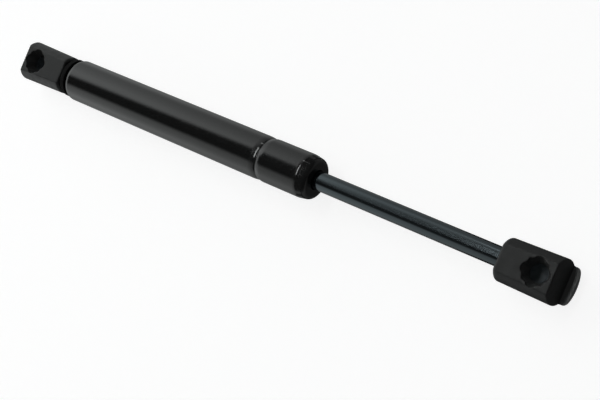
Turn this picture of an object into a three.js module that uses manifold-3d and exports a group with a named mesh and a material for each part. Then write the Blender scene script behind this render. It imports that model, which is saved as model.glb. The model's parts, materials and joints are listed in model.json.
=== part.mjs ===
// Gas strut stay: a gas spring with a moulded ball-socket fitting at each end, fully extended.
// Units are millimetres. +X runs along the strut from the tube end to the rod end, and +Z is the way
// that both sockets open. The origin is the centre of the ball that the tube-end socket takes.

import * as THREE from 'three';
import { mergeVertices } from 'three/addons/utils/BufferGeometryUtils.js';
import Module from 'manifold-3d';

const wasm = await Module();
wasm.setup();

// Driving dimensions

const eyeToEye = 265;          // between the two ball centres, with the rod fully out
const rodRadius = 4;
const gap = 0.15;              // between pieces that rest on each other
const axis = 0;                // radius of a profile point that lies on the strut's axis
const sides = { large: 44, medium: 32, small: 24, lobe: 16, port: 12, section: 8 };   // of round shapes

const tube = {
  radius: 9.5,
  wall: 1.2,
  base: 22.4,                  // X of the end that is rolled over the base plug
  mouth: 161.9,                // X of the end that is rolled in round the rod
  baseRoll: 3.2,               // outer radius of each rolled corner
  mouthRoll: 2.3,
  taperFrom: 157.3,            // X where the mouth begins to close in
  taper: 0.12,                 // how fast it closes before the rolled corner
  baseHole: 5.6,               // radius of the hole that each rolled end leaves
  mouthHole: 4.3,
};

// The rolled groove that the seal pack rests on: gentle towards the base, steep towards the mouth.
const groove = { from: 133.3, bottom: 136.4, to: 138.3, depth: 0.3, steps: 3 };

const fitting = {
  tubeShank: 18.0,             // from the ball's centre to the end that the stud or the rod enters
  rodShank: 15.8,
  head: 7.1,                   // from the ball's centre to the flat's far edge, where the end wall starts
  wallSlope: 0.13,             // how far the end wall leans outwards per millimetre down from the flat
  lip: 12.0,                   // from the ball's centre to the tip of the prying lip
  lipTop: -5.0,                // Z of the lip's upper face
  flat: 6.85,                  // Z of the flat round the socket's mouth
  shankRadius: 8.7,
  headRadius: 9.2,
  shankRound: 2.0,             // radius of the rounded edge at each end
  lipRound: 2.4,
  roundSteps: 3,
  boreRadius: 4.2,
  boreEnd: 6.6,                // distance from the ball's centre to the bottom of the threaded bore
};

const socket = {
  cupRadius: 4.1,              // takes a ball of 8 mm across
  rimZ: 2.1,                   // height of the snap rim above the ball's centre
  floorZ: -3.7,                // flat floor of the cup
  mouthRadius: 5.25,           // funnel at the flat, between the lobes
  broadLobe: { count: 4, turn: 0, centre: 3.7, radius: 2.4 },
  narrowLobe: { count: 4, turn: Math.PI / 4, centre: 4.5, radius: 1.2 },
  lobeFoot: { centre: 2.7, radius: 0.75 },   // where every lobe runs out, at the snap rim
};

const boreRadius = tube.radius - tube.wall;
const packStart = groove.to + 0.3;

const supportWasher = { from: packStart, to: packStart + 1.4, inner: 4.4, outer: 8.0 };
const seal = {
  from: supportWasher.to + gap,
  to: supportWasher.to + 5.6,
  lip: 4.15,
  inner: 5.2,
  outer: 7.95,
};
const guide = { from: seal.to + gap, to: seal.to + 11.1, inner: 5.35, outer: 8.05 };
const bush = { from: guide.from + 0.2, to: guide.to - 0.2, inner: 4.12, outer: 5.2 };
const endWasher = { from: guide.to + gap, to: guide.to + 1.5, inner: 4.4, outer: 7.6 };
const wiper = { from: endWasher.to + gap, to: endWasher.to + 1.9, lip: 4.12, inner: 5.0, outer: 6.2 };
const guideRing = { x: (guide.from + guide.to) / 2, centre: 7.3, section: 0.75, groove: 6.45 };

const plug = { from: tube.base + 1.6, to: tube.base + 8.6, outer: 8.0, hole: 3.15 };
const plugRing = { x: (plug.from + plug.to) / 2 + 0.4, centre: 7.2, section: 0.75, groove: 6.35 };
const stud = {
  tip: 7.4,
  thread: 3.9,
  collarFrom: tube.base - 0.8,
  collar: 5.0,
  neck: 3.0,
  head: 1.4,                   // length of the riveted head inside the plug
  headRadius: 4.4,
};

// A washer on the stud, between the tube's rolled base and the fitting.
const baseWasher = { from: stud.collarFrom - 1.7, to: stud.collarFrom - gap, inner: 4.3, outer: 8.8 };

const shoulder = groove.from - 2.3;          // X of the rod's shoulder that the piston stack sits on
const neckRadius = 2.4;
const stackBore = 2.6;
const frontWasher = { from: shoulder - 1.4, to: shoulder - gap, outer: 7.0 };
const piston = { from: frontWasher.from - 8.5, to: frontWasher.from - gap, outer: 7.9 };
const orificeDisc = { from: piston.from - 1.0, to: piston.from - gap, outer: 6.6 };
const backWasher = { from: orificeDisc.from - 1.2, to: orificeDisc.from - gap, outer: 5.6 };
const nut = { from: backWasher.from - 2.8, to: backWasher.from - gap, outer: 4.6 };
const ring = { x: (piston.from + piston.to) / 2, width: 2.4, inner: 6.9, outer: 8.1, slitAngle: 0.09 };
const ringGroove = { width: 3.0, radius: 6.6 };
const gasPort = { count: 3, radius: 0.8, centre: 4.4 };
const rodTip = nut.from - 0.8;
const threadFrom = eyeToEye - fitting.rodShank + 0.4;
const threadTip = eyeToEye - fitting.boreEnd - 0.8;

// Materials

function finish(color, roughness, metalness) {
  return new THREE.MeshStandardMaterial({ color, roughness, metalness });
}

const finishes = {
  blackPaint: finish(0x0b0b0c, 0.16, 0.0),
  blackMoulding: finish(0x141415, 0.5, 0.0),
  nitridedSteel: finish(0x2b3138, 0.2, 1.0),
  zincSteel: finish(0xa9acad, 0.35, 1.0),
  blackSteel: finish(0x1a1a1b, 0.45, 0.6),
  blackRubber: finish(0x101010, 0.75, 0.0),
  bronze: finish(0x9a6a3a, 0.45, 1.0),
  paleMoulding: finish(0xcfc8b4, 0.55, 0.0),
};

// Geometry helpers

// Merges equal vertices and drops the triangles that have no area.
function weld(geometry) {
  geometry.deleteAttribute('normal');
  geometry.deleteAttribute('uv');
  const merged = mergeVertices(geometry, 1e-4);
  const corners = merged.index.array;
  const kept = [];
  for (let i = 0; i < corners.length; i += 3) {
    const [a, b, c] = corners.slice(i, i + 3);
    if (a !== b && b !== c && c !== a) kept.push(a, b, c);
  }
  merged.setIndex(kept);
  return merged;
}

function toManifold(geometry) {
  const welded = weld(geometry);
  return new wasm.Manifold(new wasm.Mesh({
    numProp: 3,
    vertProperties: new Float32Array(welded.attributes.position.array),
    triVerts: new Uint32Array(welded.index.array),
  }));
}

function toGeometry(manifold) {
  const mesh = manifold.getMesh();
  const geometry = new THREE.BufferGeometry();
  geometry.setAttribute('position', new THREE.BufferAttribute(mesh.vertProperties, 3));
  geometry.setIndex(new THREE.BufferAttribute(mesh.triVerts, 1));
  return geometry;
}

// Points [along, radius] of an arc, with the angle measured from the axis's own direction.
function arc(along, radius, size, fromDegrees, toDegrees, steps) {
  const points = [];
  for (let i = 0; i <= steps; i += 1) {
    const angle = THREE.MathUtils.degToRad(fromDegrees + ((toDegrees - fromDegrees) * i) / steps);
    points.push([along + size * Math.cos(angle), radius + size * Math.sin(angle)]);
  }
  return points;
}

// Turns a profile of [x, radius] points about the X axis.
function revolve(profile, segments) {
  const points = profile.map(([x, radius]) => new THREE.Vector2(radius, x));
  return weld(new THREE.LatheGeometry(points, segments).rotateZ(-Math.PI / 2));
}

// Turns a profile of [z, radius] points about the Z axis.
function revolveUpright(profile, segments) {
  const points = profile.map(([z, radius]) => new THREE.Vector2(radius, z));
  return weld(new THREE.LatheGeometry(points, segments).rotateX(Math.PI / 2));
}

// A washer or sleeve about the X axis.
function sleeve({ from, to, inner, outer }, segments) {
  return revolve([[from, outer], [to, outer], [to, inner], [from, inner], [from, outer]], segments);
}

function roundRing({ x, centre, section }, segments) {
  const torus = new THREE.TorusGeometry(centre, section, sides.section, segments);
  return weld(torus.rotateY(Math.PI / 2).translate(x, 0, 0));
}

// A box that spans everything above `floor` in Z, between two X values.
function blockAbove(floor, fromX, toX) {
  const reach = 40;
  const box = new THREE.BoxGeometry(toX - fromX, reach, reach);
  return box.translate((fromX + toX) / 2, 0, floor + reach / 2);
}

// Sub-parts

// The dip of the rolled groove, as [x, radius] points towards +X.
function grooveDip(radius) {
  const { from, bottom, to, depth, steps } = groove;
  const points = [];
  for (let i = 0; i <= steps; i += 1) {
    points.push([from + ((bottom - from) * i) / steps, radius - depth * (i / steps) ** 1.5]);
  }
  for (let i = steps - 1; i >= 0; i -= 1) {
    points.push([to - ((to - bottom) * i) / steps, radius - depth * (i / steps) ** 2]);
  }
  return points;
}

// The rolled-in mouth, as [x, radius] points towards +X, for one side of the wall.
function rolledMouth(radius, roll) {
  const centreX = tube.mouth - tube.mouthRoll;
  const cornerRadius = radius - tube.taper * (centreX - tube.taperFrom);
  return [[tube.taperFrom, radius], ...arc(centreX, cornerRadius - roll, roll, 85, 0, 4)];
}

function pressureTube() {
  const baseCentre = [tube.base + tube.baseRoll, tube.radius - tube.baseRoll];
  const outside = [
    [tube.base, tube.baseHole],
    ...arc(...baseCentre, tube.baseRoll, 180, 90, 4),
    ...grooveDip(tube.radius),
    ...rolledMouth(tube.radius, tube.mouthRoll),
    [tube.mouth, tube.mouthHole],
  ];
  const inside = [
    [tube.base + tube.wall, tube.baseHole],
    ...arc(...baseCentre, tube.baseRoll - tube.wall, 180, 90, 4),
    ...grooveDip(boreRadius),
    ...rolledMouth(boreRadius, tube.mouthRoll - tube.wall),
    [tube.mouth - tube.wall, tube.mouthHole],
  ];
  return revolve([...outside, ...inside.reverse(), outside[0]], sides.large);
}

function basePlug() {
  const grooveHalf = plugRing.section + 0.25;
  const chamfer = 1.6;
  return revolve([
    [plug.from, plug.outer - chamfer],
    [plug.from + chamfer, plug.outer],
    [plugRing.x - grooveHalf, plug.outer],
    [plugRing.x - grooveHalf, plugRing.groove],
    [plugRing.x + grooveHalf, plugRing.groove],
    [plugRing.x + grooveHalf, plug.outer],
    [plug.to, plug.outer],
    [plug.to, plug.hole],
    [plug.from, plug.hole],
    [plug.from, plug.outer - chamfer],
  ], sides.medium);
}

function baseStud() {
  const chamfer = 0.8;
  const collarTo = plug.from - gap;
  const headFrom = plug.to + gap;
  return revolve([
    [stud.tip, axis],
    [stud.tip, stud.thread - chamfer],
    [stud.tip + chamfer, stud.thread],
    [stud.collarFrom, stud.thread],
    [stud.collarFrom, stud.collar],
    [collarTo, stud.collar],
    [collarTo, stud.neck],
    [headFrom, stud.neck],
    [headFrom, stud.headRadius],
    [headFrom + stud.head / 2, stud.headRadius],
    [headFrom + stud.head, stud.neck],
    [headFrom + stud.head, axis],
  ], sides.medium);
}

function rodSeal() {
  const { from, to, lip, inner, outer } = seal;
  const length = to - from;
  return revolve([
    [from, outer],
    [to, outer],
    [to, inner],
    [from + 0.62 * length, inner - 0.5],
    [from + 0.45 * length, lip],
    [from + 0.3 * length, inner - 0.3],
    [from, inner],
    [from, outer],
  ], sides.medium);
}

function rodGuide() {
  const grooveHalf = guideRing.section + 0.25;
  const chamfer = 0.4;
  return revolve([
    [guide.from, guide.outer - chamfer],
    [guide.from + chamfer, guide.outer],
    [guideRing.x - grooveHalf, guide.outer],
    [guideRing.x - grooveHalf, guideRing.groove],
    [guideRing.x + grooveHalf, guideRing.groove],
    [guideRing.x + grooveHalf, guide.outer],
    [guide.to - chamfer, guide.outer],
    [guide.to, guide.outer - chamfer],
    [guide.to, guide.inner],
    [guide.from, guide.inner],
    [guide.from, guide.outer - chamfer],
  ], sides.medium);
}

function rodWiper() {
  const { from, to, lip, inner, outer } = wiper;
  return revolve([
    [from, outer],
    [from + 0.6, outer],
    [to, inner + 0.3],
    [to, lip],
    [to - 0.5, lip],
    [from, inner],
    [from, outer],
  ], sides.medium);
}

function pistonRod() {
  const chamfer = 0.5;
  const threadRadius = rodRadius - 0.15;
  return revolve([
    [rodTip, axis],
    [rodTip, neckRadius - chamfer],
    [rodTip + chamfer, neckRadius],
    [shoulder, neckRadius],
    [shoulder, rodRadius],
    [threadFrom - chamfer, rodRadius],
    [threadFrom, threadRadius],
    [threadTip - chamfer, threadRadius],
    [threadTip, threadRadius - chamfer],
    [threadTip, axis],
  ], sides.medium);
}

// A disc of the piston stack, bored for the rod's neck.
function stackDisc(disc, segments) {
  return sleeve({ ...disc, inner: stackBore }, segments);
}

// Small holes on a circle, each parallel to the axis and long enough to go right through `disc`.
function ports(disc, count) {
  const length = 2 * (disc.to - disc.from);
  const middle = (disc.from + disc.to) / 2;
  const holes = [];
  for (let i = 0; i < count; i += 1) {
    const hole = new THREE.CylinderGeometry(gasPort.radius, gasPort.radius, length, sides.port);
    hole.rotateZ(Math.PI / 2).translate(middle, gasPort.centre, 0);
    holes.push(hole.rotateX((2 * Math.PI * i) / count));
  }
  return holes;
}

function cut(geometry, tools) {
  let body = toManifold(geometry);
  for (const tool of tools) body = body.subtract(toManifold(tool));
  return toGeometry(body);
}

function pistonBody() {
  const grooveFrom = ring.x - ringGroove.width / 2;
  const grooveTo = ring.x + ringGroove.width / 2;
  const blank = revolve([
    [piston.from, piston.outer],
    [grooveFrom, piston.outer],
    [grooveFrom, ringGroove.radius],
    [grooveTo, ringGroove.radius],
    [grooveTo, piston.outer],
    [piston.to, piston.outer],
    [piston.to, stackBore],
    [piston.from, stackBore],
    [piston.from, piston.outer],
  ], sides.medium);
  return cut(blank, ports(piston, gasPort.count));
}

function orificeDiscBody() {
  return cut(stackDisc(orificeDisc, sides.medium), ports(orificeDisc, 1));
}

// A ring with a narrow slit, so that it can spring out against the bore.
function pistonRing() {
  const outline = new THREE.Shape();
  outline.absarc(0, 0, ring.outer, ring.slitAngle, 2 * Math.PI - ring.slitAngle, false);
  outline.absarc(0, 0, ring.inner, 2 * Math.PI - ring.slitAngle, ring.slitAngle, true);
  const options = { depth: ring.width, bevelEnabled: false, curveSegments: sides.medium };
  const band = new THREE.ExtrudeGeometry(outline, options).rotateY(Math.PI / 2);
  return weld(band.translate(ring.x - ring.width / 2, 0, 0));
}

// One lobe of the socket's mouth: a cone that leans in from the flat to the snap rim.
function mouthLobe({ centre, radius }, turn) {
  const foot = socket.lobeFoot;
  const height = fitting.flat - socket.rimZ;
  const lean = (centre - foot.centre) / height;
  const spread = (radius - foot.radius) / height;
  const above = 1;
  const tall = height + above;
  const cone = new THREE.CylinderGeometry(radius + spread * above, foot.radius, tall, sides.lobe);
  cone.rotateX(Math.PI / 2).translate(0, 0, tall / 2);
  const shear = new THREE.Matrix4().set(1, 0, lean, foot.centre, 0, 1, 0, 0, 0, 0, 1, socket.rimZ, 0, 0, 0, 1);
  return cone.applyMatrix4(shear).rotateZ(turn);
}

function socketCavity() {
  const { cupRadius, rimZ, floorZ, mouthRadius } = socket;
  const rimRadius = Math.sqrt(cupRadius ** 2 - rimZ ** 2);
  const spread = (mouthRadius - rimRadius) / (fitting.flat - rimZ);
  const above = 1;
  const floorAngle = THREE.MathUtils.radToDeg(Math.acos(floorZ / cupRadius));
  const rimAngle = THREE.MathUtils.radToDeg(Math.acos(rimZ / cupRadius));
  let cavity = toManifold(revolveUpright([
    [floorZ, axis],
    ...arc(0, 0, cupRadius, floorAngle, rimAngle, 8),
    [fitting.flat + above, mouthRadius + spread * above],
    [fitting.flat + above, axis],
  ], sides.medium));
  for (const lobe of [socket.broadLobe, socket.narrowLobe]) {
    for (let i = 0; i < lobe.count; i += 1) {
      const turn = lobe.turn + (2 * Math.PI * i) / lobe.count;
      cavity = cavity.add(toManifold(mouthLobe(lobe, turn)));
    }
  }
  return cavity;
}

// What is cut away beyond the leaning end wall, from the lip's upper face to above the flat.
function endWallWedge(beyond) {
  const { head, wallSlope, lip, lipTop, flat, headRadius } = fitting;
  const top = flat + beyond;
  const far = -lip - beyond;
  const outline = new THREE.Shape([
    new THREE.Vector2(-head - wallSlope * (flat - lipTop), lipTop),
    new THREE.Vector2(-head - wallSlope * (flat - top), top),
    new THREE.Vector2(far, top),
    new THREE.Vector2(far, lipTop),
  ]);
  const width = 2 * (headRadius + beyond);
  const wedge = new THREE.ExtrudeGeometry(outline, { depth: width, bevelEnabled: false });
  return wedge.translate(0, 0, -width / 2).rotateX(Math.PI / 2);
}

// The moulded fitting in its own frame: ball centre at the origin, shank along +X, socket up.
function ballSocketFitting(shank) {
  const { head, lip, lipTop, flat, shankRadius, headRadius, boreRadius, boreEnd } = fitting;
  const { wallSlope, shankRound, lipRound, roundSteps } = fitting;
  const wallFoot = head + wallSlope * (flat - lipTop);
  const body = toManifold(revolve([
    [-wallFoot, axis],
    [-wallFoot, headRadius],
    ...arc(shank - shankRound, shankRadius - shankRound, shankRound, 90, 0, roundSteps),
    [shank, axis],
  ], sides.large));
  const tongue = toManifold(revolve([
    [-lip, axis],
    ...arc(lipRound - lip, headRadius - lipRound, lipRound, 180, 90, roundSteps),
    [-head, headRadius],
    [-head, axis],
  ], sides.large));
  const beyond = 5;
  const studBore = revolve([
    [boreEnd, axis],
    [boreEnd, boreRadius],
    [shank + beyond, boreRadius],
    [shank + beyond, axis],
  ], sides.medium);
  return toGeometry(body
    .subtract(toManifold(blockAbove(flat, -lip - beyond, shank + beyond)))
    .subtract(toManifold(endWallWedge(beyond)))
    .add(tongue.subtract(toManifold(blockAbove(lipTop, -lip - beyond, beyond))))
    .subtract(toManifold(studBore))
    .subtract(socketCavity()));
}

// Assembly

const strut = new THREE.Group();

function add(name, geometry, material) {
  const mesh = new THREE.Mesh(geometry, material);
  mesh.name = name;
  strut.add(mesh);
  return mesh;
}

add('pressure_tube', pressureTube(), finishes.blackPaint);
add('base_plug', basePlug(), finishes.zincSteel);
add('base_o_ring', roundRing(plugRing, sides.medium), finishes.blackRubber);
add('base_stud', baseStud(), finishes.blackSteel);
add('base_washer', sleeve(baseWasher, sides.medium), finishes.blackRubber);
add('seal_support_washer', sleeve(supportWasher, sides.medium), finishes.zincSteel);
add('rod_seal', rodSeal(), finishes.blackRubber);
add('rod_guide', rodGuide(), finishes.paleMoulding);
add('guide_bush', sleeve(bush, sides.medium), finishes.bronze);
add('guide_o_ring', roundRing(guideRing, sides.medium), finishes.blackRubber);
add('end_washer', sleeve(endWasher, sides.medium), finishes.zincSteel);
add('rod_wiper', rodWiper(), finishes.blackRubber);

add('piston_rod', pistonRod(), finishes.nitridedSteel);
add('piston_front_washer', stackDisc(frontWasher, sides.medium), finishes.zincSteel);
add('piston', pistonBody(), finishes.paleMoulding);
add('piston_ring', pistonRing(), finishes.blackMoulding);
add('orifice_disc', orificeDiscBody(), finishes.zincSteel);
add('piston_back_washer', stackDisc(backWasher, sides.medium), finishes.zincSteel);
add('piston_nut', stackDisc(nut, sides.small), finishes.zincSteel);

add('tube_end_socket', ballSocketFitting(fitting.tubeShank), finishes.blackMoulding);
const rodEndSocket = add('rod_end_socket', ballSocketFitting(fitting.rodShank), finishes.blackMoulding);
rodEndSocket.position.x = eyeToEye;
rodEndSocket.rotation.z = Math.PI;

export default strut;
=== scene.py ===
"""Gas strut stay: the visual model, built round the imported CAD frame.

Everything is in metres in the frame's own axes: +X along the strut towards the rod end, +Z the way
that both sockets open, and the origin at the centre of the tube-end socket's ball. Profiles are
written in millimetres and scaled once, in the function that builds the mesh.
"""
import json
import math

import bmesh
import bpy
import numpy as np
from mathutils import Matrix, Vector


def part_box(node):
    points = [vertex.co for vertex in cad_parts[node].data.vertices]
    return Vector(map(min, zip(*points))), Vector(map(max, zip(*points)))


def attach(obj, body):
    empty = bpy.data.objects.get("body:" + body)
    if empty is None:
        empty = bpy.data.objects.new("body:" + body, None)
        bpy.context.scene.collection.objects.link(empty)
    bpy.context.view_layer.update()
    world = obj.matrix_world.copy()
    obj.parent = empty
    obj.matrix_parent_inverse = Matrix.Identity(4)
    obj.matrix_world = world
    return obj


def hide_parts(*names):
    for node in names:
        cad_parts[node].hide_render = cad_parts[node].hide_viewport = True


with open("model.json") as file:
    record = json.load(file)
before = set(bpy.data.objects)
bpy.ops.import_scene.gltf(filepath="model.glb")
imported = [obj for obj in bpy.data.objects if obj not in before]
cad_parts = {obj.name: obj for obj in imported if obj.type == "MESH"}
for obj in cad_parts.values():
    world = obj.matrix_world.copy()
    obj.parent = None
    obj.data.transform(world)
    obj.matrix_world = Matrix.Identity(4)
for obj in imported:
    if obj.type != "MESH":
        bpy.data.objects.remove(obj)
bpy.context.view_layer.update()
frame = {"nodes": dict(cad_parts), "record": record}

MM = 0.001
FINE = 144          # sides of the round shapes that show
PLAIN = 96          # sides of the round shapes inside


# Sizes, in millimetres, from the frame's boxes

def box_mm(node):
    low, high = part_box(node)
    return Vector(low) / MM, Vector(high) / MM


TUBE_LOW, TUBE_HIGH = box_mm("pressure_tube")
ROD_LOW, ROD_HIGH = box_mm("piston_rod")
STUD_LOW, STUD_HIGH = box_mm("base_stud")
BASE_WASHER_LOW, BASE_WASHER_HIGH = box_mm("base_washer")
TUBE_SOCKET_LOW, TUBE_SOCKET_HIGH = box_mm("tube_end_socket")
ROD_SOCKET_LOW, ROD_SOCKET_HIGH = box_mm("rod_end_socket")
PLUG_LOW, PLUG_HIGH = box_mm("base_plug")

# The fittings
LIP = -TUBE_SOCKET_LOW.x
FLAT = TUBE_SOCKET_HIGH.z
EYE_TO_EYE = ROD_SOCKET_HIGH.x - LIP
TUBE_SHANK = TUBE_SOCKET_HIGH.x
ROD_SHANK = EYE_TO_EYE - ROD_SOCKET_LOW.x
HEAD_RADIUS = TUBE_SOCKET_HIGH.y
SHANK_RADIUS = HEAD_RADIUS - 0.5
HEAD_WALL = 7.1         # where the end wall starts, at the flat
WALL_SLOPE = 0.13       # how far it leans outwards for each millimetre down
LIP_TOP = -5.0
SHANK_ROUND = 1.5
LIP_ROUND = 2.2
FLAT_ROUND = 1.3        # the flat's edge at the shank's end
WALL_ROUND = 0.35       # the flat's edge at the end wall
BORE_RADIUS = 4.2
BORE_END = 6.6

# The sockets
CUP_RADIUS = 4.1
RIM_Z = 2.1
MOUTH_RADIUS = 5.25
LOBES = [(0.0, 3.7, 2.4), (45.0, 4.5, 1.2)]      # first turn in degrees, centre, radius at the flat
LOBE_FOOT = (2.7, 0.75)                          # centre and radius at the snap rim

# The tube
TUBE_RADIUS = TUBE_HIGH.z
TUBE_WALL = 1.2
BASE_ROLL = 3.2
BASE_HOLE = 5.6
MOUTH_END = TUBE_HIGH.x + 0.5
MOUTH_ROLL = 2.3
MOUTH_HOLE = 4.15
TAPER_START = 156.5
TAPER_LENGTH = 1.5
TAPER = 0.172
GROOVE_START, GROOVE_BOTTOM, GROOVE_END = 132.9, 136.8, 139.2
GROOVE_DEPTH = 0.40

ROD_RADIUS = ROD_HIGH.z


# Mesh helpers

def new_object(name, bm):
    """Links a bmesh, in millimetres, as a smooth-shaded object in metres."""
    bmesh.ops.scale(bm, vec=(MM, MM, MM), verts=bm.verts)
    bmesh.ops.recalc_face_normals(bm, faces=bm.faces)
    mesh = bpy.data.meshes.new(name)
    bm.to_mesh(mesh)
    bm.free()
    mesh.shade_smooth()
    piece = bpy.data.objects.new(name, mesh)
    bpy.context.scene.collection.objects.link(piece)
    return piece


def arc(along, radius, size, start, end, steps=10):
    """Points (along, radius) of an arc, its angles in degrees from the axis's direction."""
    points = []
    for i in range(steps + 1):
        angle = math.radians(start + (end - start) * i / steps)
        points.append((along + size * math.cos(angle), radius + size * math.sin(angle)))
    return points


def rounded_corner(corner, size, start, end, steps=10):
    """The arc that rounds one square corner, between the angles `start` and `end`."""
    inward = -1 if end == 0 or start == 0 else 1
    return arc(corner[0] + inward * size, corner[1] - size, size, start, end, steps)


def rounded(points, size, steps=4):
    """The closed outline with each corner rounded by up to `size`."""
    corners = [Vector(p) for p in points]
    result = []
    for i, corner in enumerate(corners):
        before = corners[i - 1] - corner
        after = corners[(i + 1) % len(corners)] - corner
        if min(before.length, after.length) < 1e-6 or before.angle(-after, 0.0) < math.radians(12):
            result.append(corner)
            continue
        reach = min(size, 0.45 * before.length, 0.45 * after.length)
        start = corner + before.normalized() * reach
        end = corner + after.normalized() * reach
        for k in range(steps + 1):
            t = k / steps
            result.append(start * (1 - t) ** 2 + corner * 2 * t * (1 - t) + end * t ** 2)
    return [tuple(p) for p in result]


def ring_vertices(bm, along, radius, sides, axis):
    """A ring of vertices about the X or the Z axis, or one vertex where the radius is nothing."""
    ring = []
    for k in range(sides if radius > 1e-6 else 1):
        angle = 2 * math.pi * k / sides
        across = (radius * math.cos(angle), radius * math.sin(angle))
        place = (along, *across) if axis == "X" else (*across, along)
        ring.append(bm.verts.new(place))
    return ring


def bridge(bm, ring_a, ring_b):
    sides = max(len(ring_a), len(ring_b))
    for k in range(sides):
        corners = [ring_a[k % len(ring_a)], ring_a[(k + 1) % len(ring_a)],
                   ring_b[(k + 1) % len(ring_b)], ring_b[k % len(ring_b)]]
        unique = list(dict.fromkeys(corners))
        if len(unique) > 2:
            bm.faces.new(unique)


def supported(profile, reach=0.12):
    """The profile with points just inside both ends of its long runs, to keep shading flat there."""
    points = []
    for here, there in zip(profile, profile[1:]):
        start, end = Vector(here), Vector(there)
        points.append(tuple(start))
        run = end - start
        if run.length > 4 * reach:
            step = run.normalized() * reach
            points += [tuple(start + step), tuple(end - step)]
    points.append(tuple(profile[-1]))
    return points


def turned_bmesh(profile, sides, axis="X", closed=True):
    """Turns (along, radius) points about an axis. An open profile starts and ends on the axis."""
    bm = bmesh.new()
    profile = supported(profile)
    rings = [ring_vertices(bm, along, radius, sides, axis) for along, radius in profile]
    for ring_a, ring_b in zip(rings, rings[1:]):
        bridge(bm, ring_a, ring_b)
    if closed:
        bridge(bm, rings[-1], rings[0])
    return bm


def turned(name, profile, sides=PLAIN, axis="X", closed=True):
    return new_object(name, turned_bmesh(profile, sides, axis, closed))


def threaded_bmesh(start, end, radius, depth, pitch, sides=72, steps=10):
    """A threaded length about X, closed by flat ends. Its crest fades at both ends."""
    bm = bmesh.new()
    count = int((end - start) / pitch * steps)
    rings = []
    for i in range(count + 1):
        along = start + (end - start) * i / count
        fade = min(1.0, (along - start) / pitch, (end - along) / pitch)
        ring = []
        for k in range(sides):
            angle = 2 * math.pi * k / sides
            phase = (along / pitch - k / sides) % 1.0
            crest = 1.0 - min(1.0, 2.6 * abs(phase - 0.5))
            size = radius - depth * (1.0 - crest * max(0.0, fade))
            ring.append(bm.verts.new((along, size * math.cos(angle), size * math.sin(angle))))
        rings.append(ring)
    for ring_a, ring_b in zip(rings, rings[1:]):
        bridge(bm, ring_a, ring_b)
    bm.faces.new(rings[0])
    bm.faces.new(rings[-1])
    return bm


def box_bmesh(low, high):
    bm = bmesh.new()
    bmesh.ops.create_cube(bm, size=1.0)
    low, high = Vector(low), Vector(high)
    bmesh.ops.scale(bm, vec=high - low, verts=bm.verts)
    bmesh.ops.translate(bm, vec=(low + high) / 2, verts=bm.verts)
    return bm


def prism_bmesh(outline, half_width):
    """A prism across the strut, from its outline in X and Z."""
    bm = bmesh.new()
    near = [bm.verts.new((x, -half_width, z)) for x, z in outline]
    far = [bm.verts.new((x, half_width, z)) for x, z in outline]
    bridge(bm, near, far)
    bm.faces.new(near)
    bm.faces.new(far)
    return bm


def evaluated_mesh(piece):
    """The mesh that the piece's modifiers make, in place of its own, with the modifiers removed."""
    graph = bpy.context.evaluated_depsgraph_get()
    mesh = bpy.data.meshes.new_from_object(piece.evaluated_get(graph))
    piece.modifiers.clear()
    piece.data = mesh
    return piece


def boolean(piece, tools, operation="DIFFERENCE"):
    """Joins or cuts the piece with each tool, given as a bmesh, and removes the tools."""
    for index, bm in enumerate(tools):
        tool = new_object(f"tool_{index}", bm)
        cut = piece.modifiers.new("cut", "BOOLEAN")
        cut.operation = operation
        cut.solver = "EXACT"
        cut.object = tool
        evaluated_mesh(piece)
        bpy.data.objects.remove(tool)
    return piece


def soften(piece, voxel, passes):
    """Remeshes the piece finely and smooths it, so that every edge has a moulded radius."""
    remesh = piece.modifiers.new("remesh", "REMESH")
    remesh.mode = "VOXEL"
    remesh.voxel_size = voxel * MM
    remesh.use_smooth_shade = True
    smooth = piece.modifiers.new("smooth", "SMOOTH")
    smooth.factor = 0.5
    smooth.iterations = passes
    evaluated_mesh(piece)
    piece.data.shade_smooth()
    return piece


# Pieces

def groove_drop(along):
    """How far the rolled groove sinks at one place: gentle towards the base, steep towards the mouth."""
    if along < GROOVE_BOTTOM:
        share = (along - GROOVE_START) / (GROOVE_BOTTOM - GROOVE_START)
        return GROOVE_DEPTH * max(0.0, share) ** 2.2
    share = (GROOVE_END - along) / (GROOVE_END - GROOVE_BOTTOM)
    return GROOVE_DEPTH * max(0.0, share) ** 2


def groove_points(radius):
    steps = 48
    blur = 0.14
    points = []
    for i in range(steps + 1):
        along = GROOVE_START - blur + (GROOVE_END - GROOVE_START + 2 * blur) * i / steps
        spread = [groove_drop(along + blur * k / 4) for k in range(-4, 5)]
        points.append((along, radius - sum(spread) / len(spread)))
    return points


def mouth_points(radius, roll):
    """The mouth: a crease, a short taper and the rolled corner, as points towards +X."""
    steps = 10
    points = []
    for i in range(steps + 1):
        share = i / steps
        points.append((TAPER_START + TAPER_LENGTH * share,
                       radius - TAPER * TAPER_LENGTH * share ** 2 / 2))
    tilt = math.atan(TAPER)
    centre = MOUTH_END - MOUTH_ROLL
    start, start_radius = points[-1]
    touch = start_radius - TAPER * (centre + roll * math.sin(tilt) - start)
    points += arc(centre, touch - roll * math.cos(tilt), roll, 90 - math.degrees(tilt), 0, 16)
    return points


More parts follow.
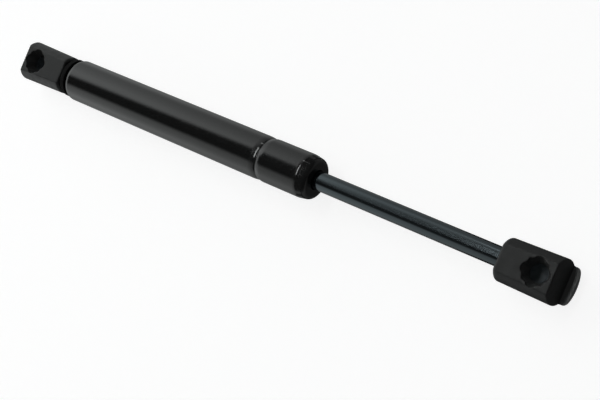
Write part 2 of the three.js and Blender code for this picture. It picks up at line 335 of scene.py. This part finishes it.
def pressure_tube():
    """The tube: rolled over the plug at its base, grooved, and rolled in round the rod."""
    bore = TUBE_RADIUS - TUBE_WALL
    base, mouth = TUBE_LOW.x, MOUTH_END
    base_centre = (base + BASE_ROLL, TUBE_RADIUS - BASE_ROLL)
    lip = 0.3
    outside = [
        (base + lip, BASE_HOLE),
        (base, BASE_HOLE + lip),
        *arc(*base_centre, BASE_ROLL, 180, 90, 16),
        *groove_points(TUBE_RADIUS),
        *mouth_points(TUBE_RADIUS, MOUTH_ROLL),
        (mouth, MOUTH_HOLE + lip),
        (mouth - lip, MOUTH_HOLE),
    ]
    inside = [
        (base + TUBE_WALL, BASE_HOLE),
        *arc(*base_centre, BASE_ROLL - TUBE_WALL, 180, 90),
        *groove_points(bore),
        *mouth_points(bore, MOUTH_ROLL - TUBE_WALL),
        (mouth - TUBE_WALL, MOUTH_HOLE),
    ]
    piece = turned("tube_shell", outside + inside[::-1], FINE)
    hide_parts("pressure_tube")
    return piece


def piston_rod():
    """The rod: a riveted tip, the piston's neck, the polished length and the threaded end."""
    neck = 2.4
    shoulder = box_mm("piston_front_washer")[1].x + 0.15
    thread_start = EYE_TO_EYE - ROD_SHANK + 0.4
    end = ROD_HIGH.x
    profile = [
        (ROD_LOW.x, 0.0),
        (ROD_LOW.x, neck - 0.5),
        (ROD_LOW.x + 0.15, neck - 0.15),
        (ROD_LOW.x + 0.5, neck),
        (shoulder - 0.2, neck),
        (shoulder, neck + 0.2),
        (shoulder, ROD_RADIUS - 0.3),
        (shoulder + 0.3, ROD_RADIUS),
        (thread_start - 0.4, ROD_RADIUS),
        (thread_start, ROD_RADIUS - 0.7),
        (thread_start, 0.0),
    ]
    bm = turned_bmesh(profile, FINE, closed=False)
    thread = threaded_bmesh(thread_start - 0.3, end, ROD_RADIUS - 0.15, 0.55, 1.25)
    piece = new_object("rod_shaft", bm)
    boolean(piece, [thread], "UNION")
    piece.data.shade_smooth()
    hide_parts("piston_rod")
    return piece


def base_stud():
    """The stud that the tube-end fitting is screwed on: threaded, with a collar and a riveted head."""
    thread_radius = 3.9
    collar, neck = 5.0, 3.0
    collar_start = BASE_WASHER_HIGH.x + 0.15
    collar_end = PLUG_LOW.x - 0.15
    head_start = PLUG_HIGH.x + 0.15
    head = STUD_HIGH.x
    thread = threaded_bmesh(STUD_LOW.x, collar_start + 0.3, thread_radius, 0.5, 1.25)
    profile = [
        (collar_start, 0.0),
        *rounded_corner((collar_start, collar), 0.3, 180, 90),
        *rounded_corner((collar_end, collar), 0.3, 90, 0),
        (collar_end, neck),
        (head_start, neck),
        (head_start, 4.2),
        (head_start + 0.3, 4.4),
        *rounded_corner((head, 4.4), 0.9, 90, 0),
        (head, 0.0),
    ]
    piece = new_object("stud_turned", turned_bmesh(profile, PLAIN, closed=False))
    boolean(piece, [thread], "UNION")
    piece.data.shade_smooth()
    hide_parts("base_stud")
    return piece


def base_washer():
    """The washer, with a recess that clears the stud's collar."""
    low, high = BASE_WASHER_LOW, BASE_WASHER_HIGH
    rim_end = TUBE_LOW.x - 0.25
    recess, hole = 5.5, 4.3
    outline = [
        (low.x, high.z),
        (rim_end, high.z),
        (rim_end, recess),
        (high.x, recess),
        (high.x, hole),
        (low.x, hole),
    ]
    outline = rounded(outline, 0.4)
    piece = turned("washer_turned", [*outline, outline[0]], FINE, closed=False)
    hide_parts("base_washer")
    return piece


def socket_cavity():
    """The socket: a cup for the ball under a snap rim, and a funnel with eight lobes above it."""
    rim = math.sqrt(CUP_RADIUS ** 2 - RIM_Z ** 2)
    above = 1.0
    spread = (MOUTH_RADIUS - rim) / (FLAT - RIM_Z)
    rim_angle = math.degrees(math.acos(RIM_Z / CUP_RADIUS))
    profile = [
        *arc(0, 0, CUP_RADIUS, 180, rim_angle, 24),
        (FLAT + above, MOUTH_RADIUS + spread * above),
        (FLAT + above, 0.0),
    ]
    tools = [turned_bmesh(profile, PLAIN, "Z", closed=False)]
    foot_centre, foot_radius = LOBE_FOOT
    grow = (FLAT + above - RIM_Z) / (FLAT - RIM_Z)
    sides = 40
    for first_turn, centre, radius in LOBES:
        for quarter in range(4):
            lobe = bmesh.new()
            top_radius = foot_radius + (radius - foot_radius) * grow
            top_centre = foot_centre + (centre - foot_centre) * grow
            foot = ring_vertices(lobe, RIM_Z, foot_radius, sides, "Z")
            top = ring_vertices(lobe, FLAT + above, top_radius, sides, "Z")
            bmesh.ops.translate(lobe, vec=(foot_centre, 0, 0), verts=foot)
            bmesh.ops.translate(lobe, vec=(top_centre, 0, 0), verts=top)
            bridge(lobe, foot, top)
            lobe.faces.new(foot)
            lobe.faces.new(top)
            turn = Matrix.Rotation(math.radians(first_turn + 90.0 * quarter), 4, "Z")
            bmesh.ops.transform(lobe, matrix=turn, verts=lobe.verts)
            tools.append(lobe)
    return tools


def mark_socket(mesh):
    """Marks the lobes with 0.5, the cup with 1 and the lip apart, for the moulding's painted light to read:
    lighter colours there stand in for the light in the socket and on the lip.
    """
    points = np.empty(3 * len(mesh.vertices))
    mesh.vertices.foreach_get("co", points)
    points = points.reshape(-1, 3) / MM
    depth = points[:, 2]
    radius = np.hypot(points[:, 0], points[:, 1])
    # The lobes and the cup are marked for painted light: the moulding paints them lighter, standing in for
    # the light seen inside the hole.
    beside_lobes, beside_cup, edge = 1.1, 0.3, 0.15
    inside = (radius < MOUTH_RADIUS + beside_lobes) & (depth > -CUP_RADIUS - 0.4)
    lobes = 0.5 * np.clip((FLAT - edge - depth) / 0.5, 0.0, 1.0)
    cup = 0.5 * np.clip((RIM_Z - depth) / 0.3, 0.0, 1.0) * (radius < CUP_RADIUS + beside_cup)
    mark = mesh.attributes.new("socket", "FLOAT", "POINT")
    mark.data.foreach_set("value", np.where(inside, lobes + cup, 0.0))
    # The lip is marked for painted light: the moulding paints its top lighter, standing in for the light
    # that falls on it.
    lip_start = HEAD_WALL + WALL_SLOPE * (FLAT - LIP_TOP) - 0.3
    on_lip = np.clip((-lip_start - points[:, 0]) / 0.8, 0.0, 1.0)
    on_lip *= np.clip((LIP_TOP + 0.5 - depth) / 0.5, 0.0, 1.0)
    mark = mesh.attributes.new("lip", "FLOAT", "POINT")
    mark.data.foreach_set("value", on_lip)


def above_flat(shank, beyond):
    """What is cut away above the flat, whose two ends roll over."""
    outline = [
        (-LIP - 1, FLAT - WALL_ROUND),
        *arc(WALL_ROUND - HEAD_WALL, FLAT - WALL_ROUND, WALL_ROUND, 180, 90, 6),
        *arc(shank - FLAT_ROUND, FLAT - FLAT_ROUND, FLAT_ROUND, 90, 0),
        (shank + 1, FLAT - FLAT_ROUND),
        (shank + 1, beyond),
        (-LIP - 1, beyond),
    ]
    return prism_bmesh(outline, beyond)


def beyond_wall(beyond):
    """What is cut away past the end wall, which leans outwards towards the lip."""
    bm = box_bmesh((-LIP - 3, -beyond, LIP_TOP), (-HEAD_WALL, beyond, beyond))
    for vertex in bm.verts:
        vertex.co.x -= WALL_SLOPE * (FLAT - vertex.co.z)
    return bm


def ball_socket_fitting(name, node, shank):
    """The moulded fitting, with its shank along +X and its socket's centre at the origin."""
    wall_foot = HEAD_WALL + WALL_SLOPE * (FLAT - LIP_TOP)
    body = [
        (-wall_foot, 0.0),
        (-wall_foot, HEAD_RADIUS),
        *rounded_corner((shank, SHANK_RADIUS), SHANK_ROUND, 90, 0),
        (shank, 0.0),
    ]
    tongue = [
        (-LIP, 0.0),
        *rounded_corner((-LIP, HEAD_RADIUS), LIP_ROUND, 180, 90),
        (-HEAD_WALL, HEAD_RADIUS),
        (-HEAD_WALL, 0.0),
    ]
    beyond = 12.0
    piece = new_object(name, turned_bmesh(body, FINE, closed=False))
    boolean(piece, [above_flat(shank, beyond), beyond_wall(beyond)])
    lip = new_object("lip", turned_bmesh(tongue, FINE, closed=False))
    boolean(lip, [box_bmesh((-LIP - 1, -beyond, LIP_TOP), (0, beyond, beyond))])
    join = piece.modifiers.new("join", "BOOLEAN")
    join.operation = "UNION"
    join.solver = "EXACT"
    join.object = lip
    evaluated_mesh(piece)
    bpy.data.objects.remove(lip)
    soften(piece, voxel=0.18, passes=9)

    bore = [(BORE_END, 0.0), (BORE_END, BORE_RADIUS), (shank + 1, BORE_RADIUS), (shank + 1, 0.0)]
    boolean(piece, [turned_bmesh(bore, PLAIN, closed=False), *socket_cavity()])
    soften(piece, voxel=0.14, passes=3)
    mark_socket(piece.data)
    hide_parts(node)
    return piece


# Materials

class Nodes:
    """Short calls for building a node tree."""

    def __init__(self, tree):
        self.tree = tree

    def add(self, kind, **inputs):
        node = self.tree.nodes.new(kind)
        for key, value in inputs.items():
            setattr(node, key, value)
        return node

    def link(self, source, target):
        self.tree.links.new(source, target)

    def put(self, socket, value):
        """Sets an input to a number or a colour, or links it to an output."""
        if isinstance(value, bpy.types.NodeSocket):
            self.link(value, socket)
        else:
            socket.default_value = value

    def math(self, operation, a, b=0.0, clamp=False):
        node = self.add("ShaderNodeMath", operation=operation, use_clamp=clamp)
        self.put(node.inputs[0], a)
        self.put(node.inputs[1], b)
        return node.outputs[0]

    def remap(self, value, low, high, to_low=0.0, to_high=1.0, kind="SMOOTHSTEP"):
        node = self.add("ShaderNodeMapRange", interpolation_type=kind)
        for socket, number in zip(node.inputs[:5], (value, low, high, to_low, to_high)):
            self.put(socket, number)
        return node.outputs[0]

    def noise(self, vector, scale, detail=2.0, roughness=0.5):
        node = self.add("ShaderNodeTexNoise")
        self.link(vector, node.inputs["Vector"])
        node.inputs["Scale"].default_value = scale
        node.inputs["Detail"].default_value = detail
        node.inputs["Roughness"].default_value = roughness
        return node.outputs["Fac"]

    def bump(self, height, strength, distance, normal=None):
        node = self.add("ShaderNodeBump")
        node.inputs["Strength"].default_value = strength
        node.inputs["Distance"].default_value = distance
        self.link(height, node.inputs["Height"])
        if normal is not None:
            self.link(normal, node.inputs["Normal"])
        return node.outputs["Normal"]

    def blend(self, factor, low, high):
        """Mixes two colours by a factor."""
        node = self.add("ShaderNodeMix", data_type="RGBA")
        self.put(node.inputs["Factor"], factor)
        self.put(node.inputs["A"], low)
        self.put(node.inputs["B"], high)
        return node.outputs["Result"]


def new_material(name):
    """A material with its node helper, its Principled shader and its object coordinates."""
    material = bpy.data.materials.new(name)
    material.use_nodes = True
    nodes = Nodes(material.node_tree)
    shader = material.node_tree.nodes["Principled BSDF"]
    place = nodes.add("ShaderNodeTexCoord").outputs["Object"]
    return material, nodes, shader, place


def stretched(nodes, place, scale):
    mapping = nodes.add("ShaderNodeMapping")
    nodes.link(place, mapping.inputs["Vector"])
    mapping.inputs["Scale"].default_value = scale
    return mapping.outputs["Vector"]


def grey(value, tint=(1.0, 1.0, 1.0)):
    return (value * tint[0], value * tint[1], value * tint[2], 1.0)


def gloss_black_paint():
    material, nodes, shader, place = new_material("gloss_black_paint")
    shade = nodes.noise(place, 60.0, 3.0)
    nodes.link(nodes.blend(shade, grey(0.0120), grey(0.0150)), shader.inputs["Base Color"])
    smudge = nodes.remap(nodes.noise(place, 140.0, 4.0, 0.6), 0.35, 0.7, 0.06, 0.10)
    dust = nodes.remap(nodes.noise(place, 5200.0, 1.0), 0.72, 0.78, 0.0, 0.25)
    nodes.link(nodes.math("ADD", smudge, dust), shader.inputs["Roughness"])
    orange_peel = nodes.bump(nodes.noise(place, 700.0, 1.0), 0.25, 0.00003)
    specks = nodes.bump(nodes.remap(nodes.noise(place, 2600.0, 0.0), 0.70, 0.78), 0.3, 0.00002, orange_peel)
    nodes.link(specks, shader.inputs["Normal"])
    shader.inputs["Specular IOR Level"].default_value = 0.5
    return material


def black_moulding():
    """Glass-filled black plastic: a mottled, slightly sparkling skin, with painted light on the lip and in
    the socket, where lighter colours on the lobes and the cup stand in for the light there.
    """
    material, nodes, shader, place = new_material("black_moulding")
    shader.inputs["Specular IOR Level"].default_value = 0.38
    mottle = nodes.noise(place, 220.0, 3.0)
    skin = nodes.blend(mottle, grey(0.015), grey(0.024))
    # Painted light on the lip: its colour is raised to grey 0.15, standing in for the light that falls on
    # it.
    lip = nodes.add("ShaderNodeAttribute", attribute_name="lip").outputs["Fac"]
    skin = nodes.blend(lip, skin, grey(0.150))
    # Painted light in the socket: the lobes get a lighter grey and the cup a pale blue-grey, standing in
    # for the light and reflection seen in the hole.
    socket = nodes.add("ShaderNodeAttribute", attribute_name="socket").outputs["Fac"]
    lobes = nodes.remap(socket, 0.0, 0.5, kind="LINEAR")
    cup = nodes.remap(socket, 0.5, 1.0, kind="LINEAR")
    shade = nodes.blend(lobes, skin, grey(0.048))
    nodes.link(nodes.blend(cup, shade, (0.150, 0.168, 0.182, 1.0)), shader.inputs["Base Color"])
    cloud = nodes.remap(nodes.noise(place, 300.0, 3.0, 0.6), 0.3, 0.7, 0.42, 0.52)
    dulled = nodes.math("MULTIPLY", nodes.math("SUBTRACT", cup, nodes.math("MULTIPLY", lobes, 0.5)), 0.25)
    nodes.link(nodes.math("ADD", cloud, dulled), shader.inputs["Roughness"])
    spark = nodes.bump(nodes.noise(place, 4200.0, 2.0, 0.7), 0.4, 0.00003)
    streaks = nodes.noise(stretched(nodes, place, (0.3, 1.0, 1.0)), 500.0, 2.0)
    flow = nodes.bump(streaks, 0.25, 0.00003, spark)
    nodes.link(flow, shader.inputs["Normal"])
    return material


def nitrided_steel():
    material, nodes, shader, place = new_material("nitrided_steel")
    shader.inputs["Metallic"].default_value = 1.0
    tone = nodes.noise(stretched(nodes, place, (0.4, 1.0, 1.0)), 90.0, 3.0)
    nodes.link(nodes.blend(tone, (0.070, 0.084, 0.091, 1.0), (0.094, 0.110, 0.117, 1.0)),
               shader.inputs["Base Color"])
    grind = nodes.noise(stretched(nodes, place, (60.0, 1.0, 1.0)), 260.0, 3.0, 0.7)
    nodes.link(nodes.remap(grind, 0.3, 0.7, 0.08, 0.15), shader.inputs["Roughness"])
    nodes.link(nodes.bump(grind, 0.25, 0.00001), shader.inputs["Normal"])
    return material


def bare_metal(name, low, high, rough):
    """Turned metal: fine rings round the axis, and a slight cloudiness."""
    material, nodes, shader, place = new_material(name)
    shader.inputs["Metallic"].default_value = 1.0
    cloud = nodes.noise(place, 500.0, 4.0, 0.6)
    nodes.link(nodes.blend(cloud, low, high), shader.inputs["Base Color"])
    nodes.link(nodes.remap(cloud, 0.3, 0.7, rough - 0.07, rough + 0.08), shader.inputs["Roughness"])
    rings = nodes.noise(stretched(nodes, place, (30.0, 1.0, 1.0)), 300.0, 3.0, 0.6)
    nodes.link(nodes.bump(rings, 0.3, 0.00002), shader.inputs["Normal"])
    return material


def moulded(name, low, high, rough, specular=0.5):
    """Plain moulded rubber or plastic with a fine grain."""
    grain = 0.00003
    material, nodes, shader, place = new_material(name)
    shader.inputs["Specular IOR Level"].default_value = specular
    nodes.link(nodes.blend(nodes.noise(place, 400.0, 3.0), low, high), shader.inputs["Base Color"])
    nodes.link(nodes.remap(nodes.noise(place, 900.0, 3.0), 0.3, 0.7, rough - 0.06, rough + 0.06),
               shader.inputs["Roughness"])
    nodes.link(nodes.bump(nodes.noise(place, 3500.0, 2.0), 0.5, grain), shader.inputs["Normal"])
    return material


def dress(piece, material):
    piece.data.materials.clear()
    piece.data.materials.append(material)


# Stage

def pale_floor():
    bm = box_bmesh((-1500, -1500, -1), (1500, 1500, 0))
    bmesh.ops.translate(bm, vec=(EYE_TO_EYE / 2, 0, -TUBE_RADIUS - 0.5), verts=bm.verts)
    floor = new_object("floor", bm)
    material, nodes, shader, place = new_material("pale_floor")
    nodes.link(nodes.blend(nodes.noise(place, 3.0), grey(0.30), grey(0.34)), shader.inputs["Base Color"])
    shader.inputs["Roughness"].default_value = 0.9
    shader.inputs["Specular IOR Level"].default_value = 0.0
    shader.inputs["Emission Color"].default_value = grey(1.0)
    shader.inputs["Emission Strength"].default_value = 0.86
    dress(floor, material)
    floor.visible_glossy = False
    floor.visible_diffuse = False


def light_around(nodes, angle):
    """The light's level by its angle round the strut: 0 degrees straight up, positive towards -Y."""
    around = [(-180, 0.20), (-150, 0.30), (-125, 0.55), (-98, 0.55), (-84, 0.69), (-65, 0.96),
              (-53, 1.15), (-40, 1.40), (-28, 1.50), (60, 0.88), (90, 1.00), (104, 0.98),
              (122, 0.62), (134, 0.42), (150, 0.28), (180, 0.20)]
    ramp = nodes.add("ShaderNodeValToRGB")
    nodes.link(nodes.remap(angle, -180.0, 180.0, kind="LINEAR"), ramp.inputs[0])
    stops = ramp.color_ramp.elements
    while len(stops) < len(around):
        stops.new(0.5)
    for stop, (degrees, level) in zip(stops, around):
        stop.position = (degrees + 180) / 360
        stop.color = (level / 2, level / 2, level / 2, 1.0)
    return nodes.math("MULTIPLY", ramp.outputs[0], 2.0)


def overhead_gap(nodes, x, angle):
    """The dark gap overhead. One edge stays put, and the other leans towards +Y as -X is left behind."""
    leaning = nodes.math("ADD", nodes.remap(x, -0.70, -0.54, -3.0, -24.0, kind="LINEAR"),
                         nodes.remap(x, -0.53, -0.49, 0.0, 26.0))
    leaning = nodes.math("ADD", leaning, nodes.remap(x, -0.46, -0.37, 0.0, -10.0))
    opened = nodes.remap(nodes.math("SUBTRACT", angle, leaning), -12.0, 12.0)
    shut = nodes.remap(angle, 35.0, 60.0, 1.0, 0.0)
    depth = nodes.math("MULTIPLY", nodes.remap(x, -0.84, -0.77),
                       nodes.remap(x, -0.53, -0.49, 0.98, 0.90))
    gap = nodes.math("MULTIPLY", nodes.math("MULTIPLY", opened, shut), depth)

    # A half-dark border beside the gap, for the part that the rod sees.
    border = nodes.math("MULTIPLY", nodes.remap(angle, -66.0, -26.0), shut)
    border = nodes.math("MULTIPLY", border, nodes.remap(x, -0.53, -0.49, 0.0, 0.62))
    border = nodes.math("MULTIPLY", border, nodes.remap(x, -0.50, -0.36, 1.0, 1.3, kind="LINEAR"))
    return nodes.math("MAXIMUM", gap, border)


def dark_end(nodes, x, z, angle):
    """The dark end along +X. It reaches further along the sides, and a little light is left below."""
    aside = nodes.math("ABSOLUTE", angle)
    reach = nodes.math("ADD", nodes.remap(aside, 30.0, 75.0, 0.0, 0.06),
                       nodes.remap(aside, 100.0, 135.0, 0.0, 0.09))
    below = nodes.remap(z, -0.3, 0.2, nodes.remap(x, -0.25, 0.0, 0.88, 0.25), 0.88)
    return nodes.math("MULTIPLY", nodes.remap(nodes.math("ADD", x, reach), -0.270, -0.246), below)


def strip_lamp(nodes, x, angle):
    """A bright strip across the strut, just before the dark end."""
    strength = 8.8
    across = nodes.math("MULTIPLY", nodes.remap(angle, -40.0, -28.0),
                        nodes.remap(angle, 8.0, 20.0, 1.0, 0.0))
    along = nodes.math("MULTIPLY", nodes.remap(x, -0.337, -0.320),
                       nodes.remap(x, -0.280, -0.262, 1.0, 0.0))
    return nodes.math("MULTIPLY", nodes.math("MULTIPLY", across, along), strength)


def side_lamp(nodes, direction):
    """A small lamp low on +Y."""
    strength = 2.5
    edge = math.cos(math.radians(3.5))
    soft = 0.001
    dot = nodes.add("ShaderNodeVectorMath", operation="DOT_PRODUCT")
    nodes.link(direction, dot.inputs[0])
    dot.inputs[1].default_value = Vector((-0.318, 0.84, 0.44)).normalized()
    return nodes.remap(dot.outputs["Value"], edge - soft, edge + soft, 0.0, strength)


def studio_light():
    """Soft light along both sides of the strut, with a dark gap overhead, a dark end and two lamps."""
    world = bpy.data.worlds.new("studio")
    bpy.context.scene.world = world
    world.use_nodes = True
    nodes = Nodes(world.node_tree)
    background = world.node_tree.nodes["Background"]
    direction = nodes.add("ShaderNodeTexCoord").outputs["Generated"]
    split = nodes.add("ShaderNodeSeparateXYZ")
    nodes.link(direction, split.inputs[0])
    x, y, z = split.outputs
    angle = nodes.math("DEGREES", nodes.math("ARCTAN2", nodes.math("MULTIPLY", y, -1.0), z))

    fall = nodes.remap(x, -0.70, -0.34, 1.12, 0.50, kind="LINEAR")
    soft = nodes.math("MULTIPLY", light_around(nodes, angle), fall)
    dark = nodes.math("MAXIMUM", overhead_gap(nodes, x, angle), dark_end(nodes, x, z, angle))
    level = nodes.math("MULTIPLY", soft, nodes.math("SUBTRACT", 1.0, dark))
    level = nodes.math("ADD", level, strip_lamp(nodes, x, angle))
    level = nodes.math("ADD", level, side_lamp(nodes, direction))

    # The light is faintly cool. Seen directly, the surroundings are plain white.
    seen = nodes.add("ShaderNodeLightPath").outputs["Is Camera Ray"]
    nodes.link(nodes.blend(seen, (0.965, 1.0, 0.995, 1.0), grey(1.0)), background.inputs["Color"])
    unseen = nodes.math("MULTIPLY", level, nodes.math("SUBTRACT", 1.0, seen))
    nodes.link(nodes.math("ADD", unseen, seen), background.inputs["Strength"])


def camera():
    """Looks at the strut from above the rod end, with the strut falling to the right."""
    aim = Vector((0.5977 * EYE_TO_EYE * MM, -0.0102, 0.0))
    distance = 0.5118
    tilt, lean, roll = (math.radians(a) for a in (31.02, 1.15, 23.52))
    back = Vector((math.sin(tilt) * math.cos(lean), math.sin(lean), math.cos(tilt) * math.cos(lean)))
    level = (Vector((1, 0, 0)) - back * back.x).normalized()
    right = level * math.cos(roll) + back.cross(level) * math.sin(roll)
    up = back.cross(right)
    data = bpy.data.cameras.new("camera")
    data.lens = 75.36
    data.sensor_width = 36.0
    data.clip_start = 0.01
    view = bpy.data.objects.new("camera", data)
    bpy.context.scene.collection.objects.link(view)
    axes = Matrix((right, up, back)).transposed().to_4x4()
    view.matrix_world = Matrix.Translation(aim + back * distance) @ axes
    bpy.context.scene.camera = view


# The scene

camera()
pale_floor()
studio_light()
bpy.context.scene.view_settings.view_transform = "Standard"

paint = gloss_black_paint()
moulding = black_moulding()
steel = nitrided_steel()

tube = pressure_tube()
dress(tube, paint)
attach(tube, "tube")

rod = piston_rod()
dress(rod, steel)
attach(rod, "rod")

tube_end = ball_socket_fitting("tube_end_fitting", "tube_end_socket", TUBE_SHANK)
dress(tube_end, moulding)
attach(tube_end, "tube")

rod_end = ball_socket_fitting("rod_end_fitting", "rod_end_socket", ROD_SHANK)
rod_end.data.transform(Matrix.Translation((EYE_TO_EYE * MM, 0, 0)) @ Matrix.Rotation(math.pi, 4, "Z"))
dress(rod_end, moulding)
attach(rod_end, "rod")

zinc = bare_metal("zinc_plated_steel", (0.42, 0.43, 0.44, 1), (0.60, 0.61, 0.62, 1), 0.32)
bronze = bare_metal("sintered_bronze", (0.30, 0.17, 0.07, 1), (0.46, 0.28, 0.13, 1), 0.45)
rubber = moulded("black_rubber", grey(0.009), grey(0.013), 0.85, specular=0.12)
black_steel = bare_metal("black_phosphated_steel", grey(0.020), grey(0.034), 0.5)
pale = moulded("guide_moulding", (0.48, 0.43, 0.33, 1), (0.58, 0.53, 0.43, 1), 0.5)
dark = moulded("ring_moulding", grey(0.022), grey(0.034), 0.45)
finish_of_slot = {
    "zinc_steel": zinc,
    "black_steel": black_steel,
    "sintered_bronze": bronze,
    "black_rubber": rubber,
    "guide_moulding": pale,
    "ring_moulding": dark,
    "tube_paint": paint,
    "rod_steel": steel,
    "fitting_moulding": moulding,
}
stud = base_stud()
dress(stud, black_steel)
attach(stud, "tube")
washer = base_washer()
dress(washer, rubber)
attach(washer, "tube")

for part in frame["record"]["subparts"]:
    dress(frame["nodes"][part["node"]], finish_of_slot[part["material_slot"]])
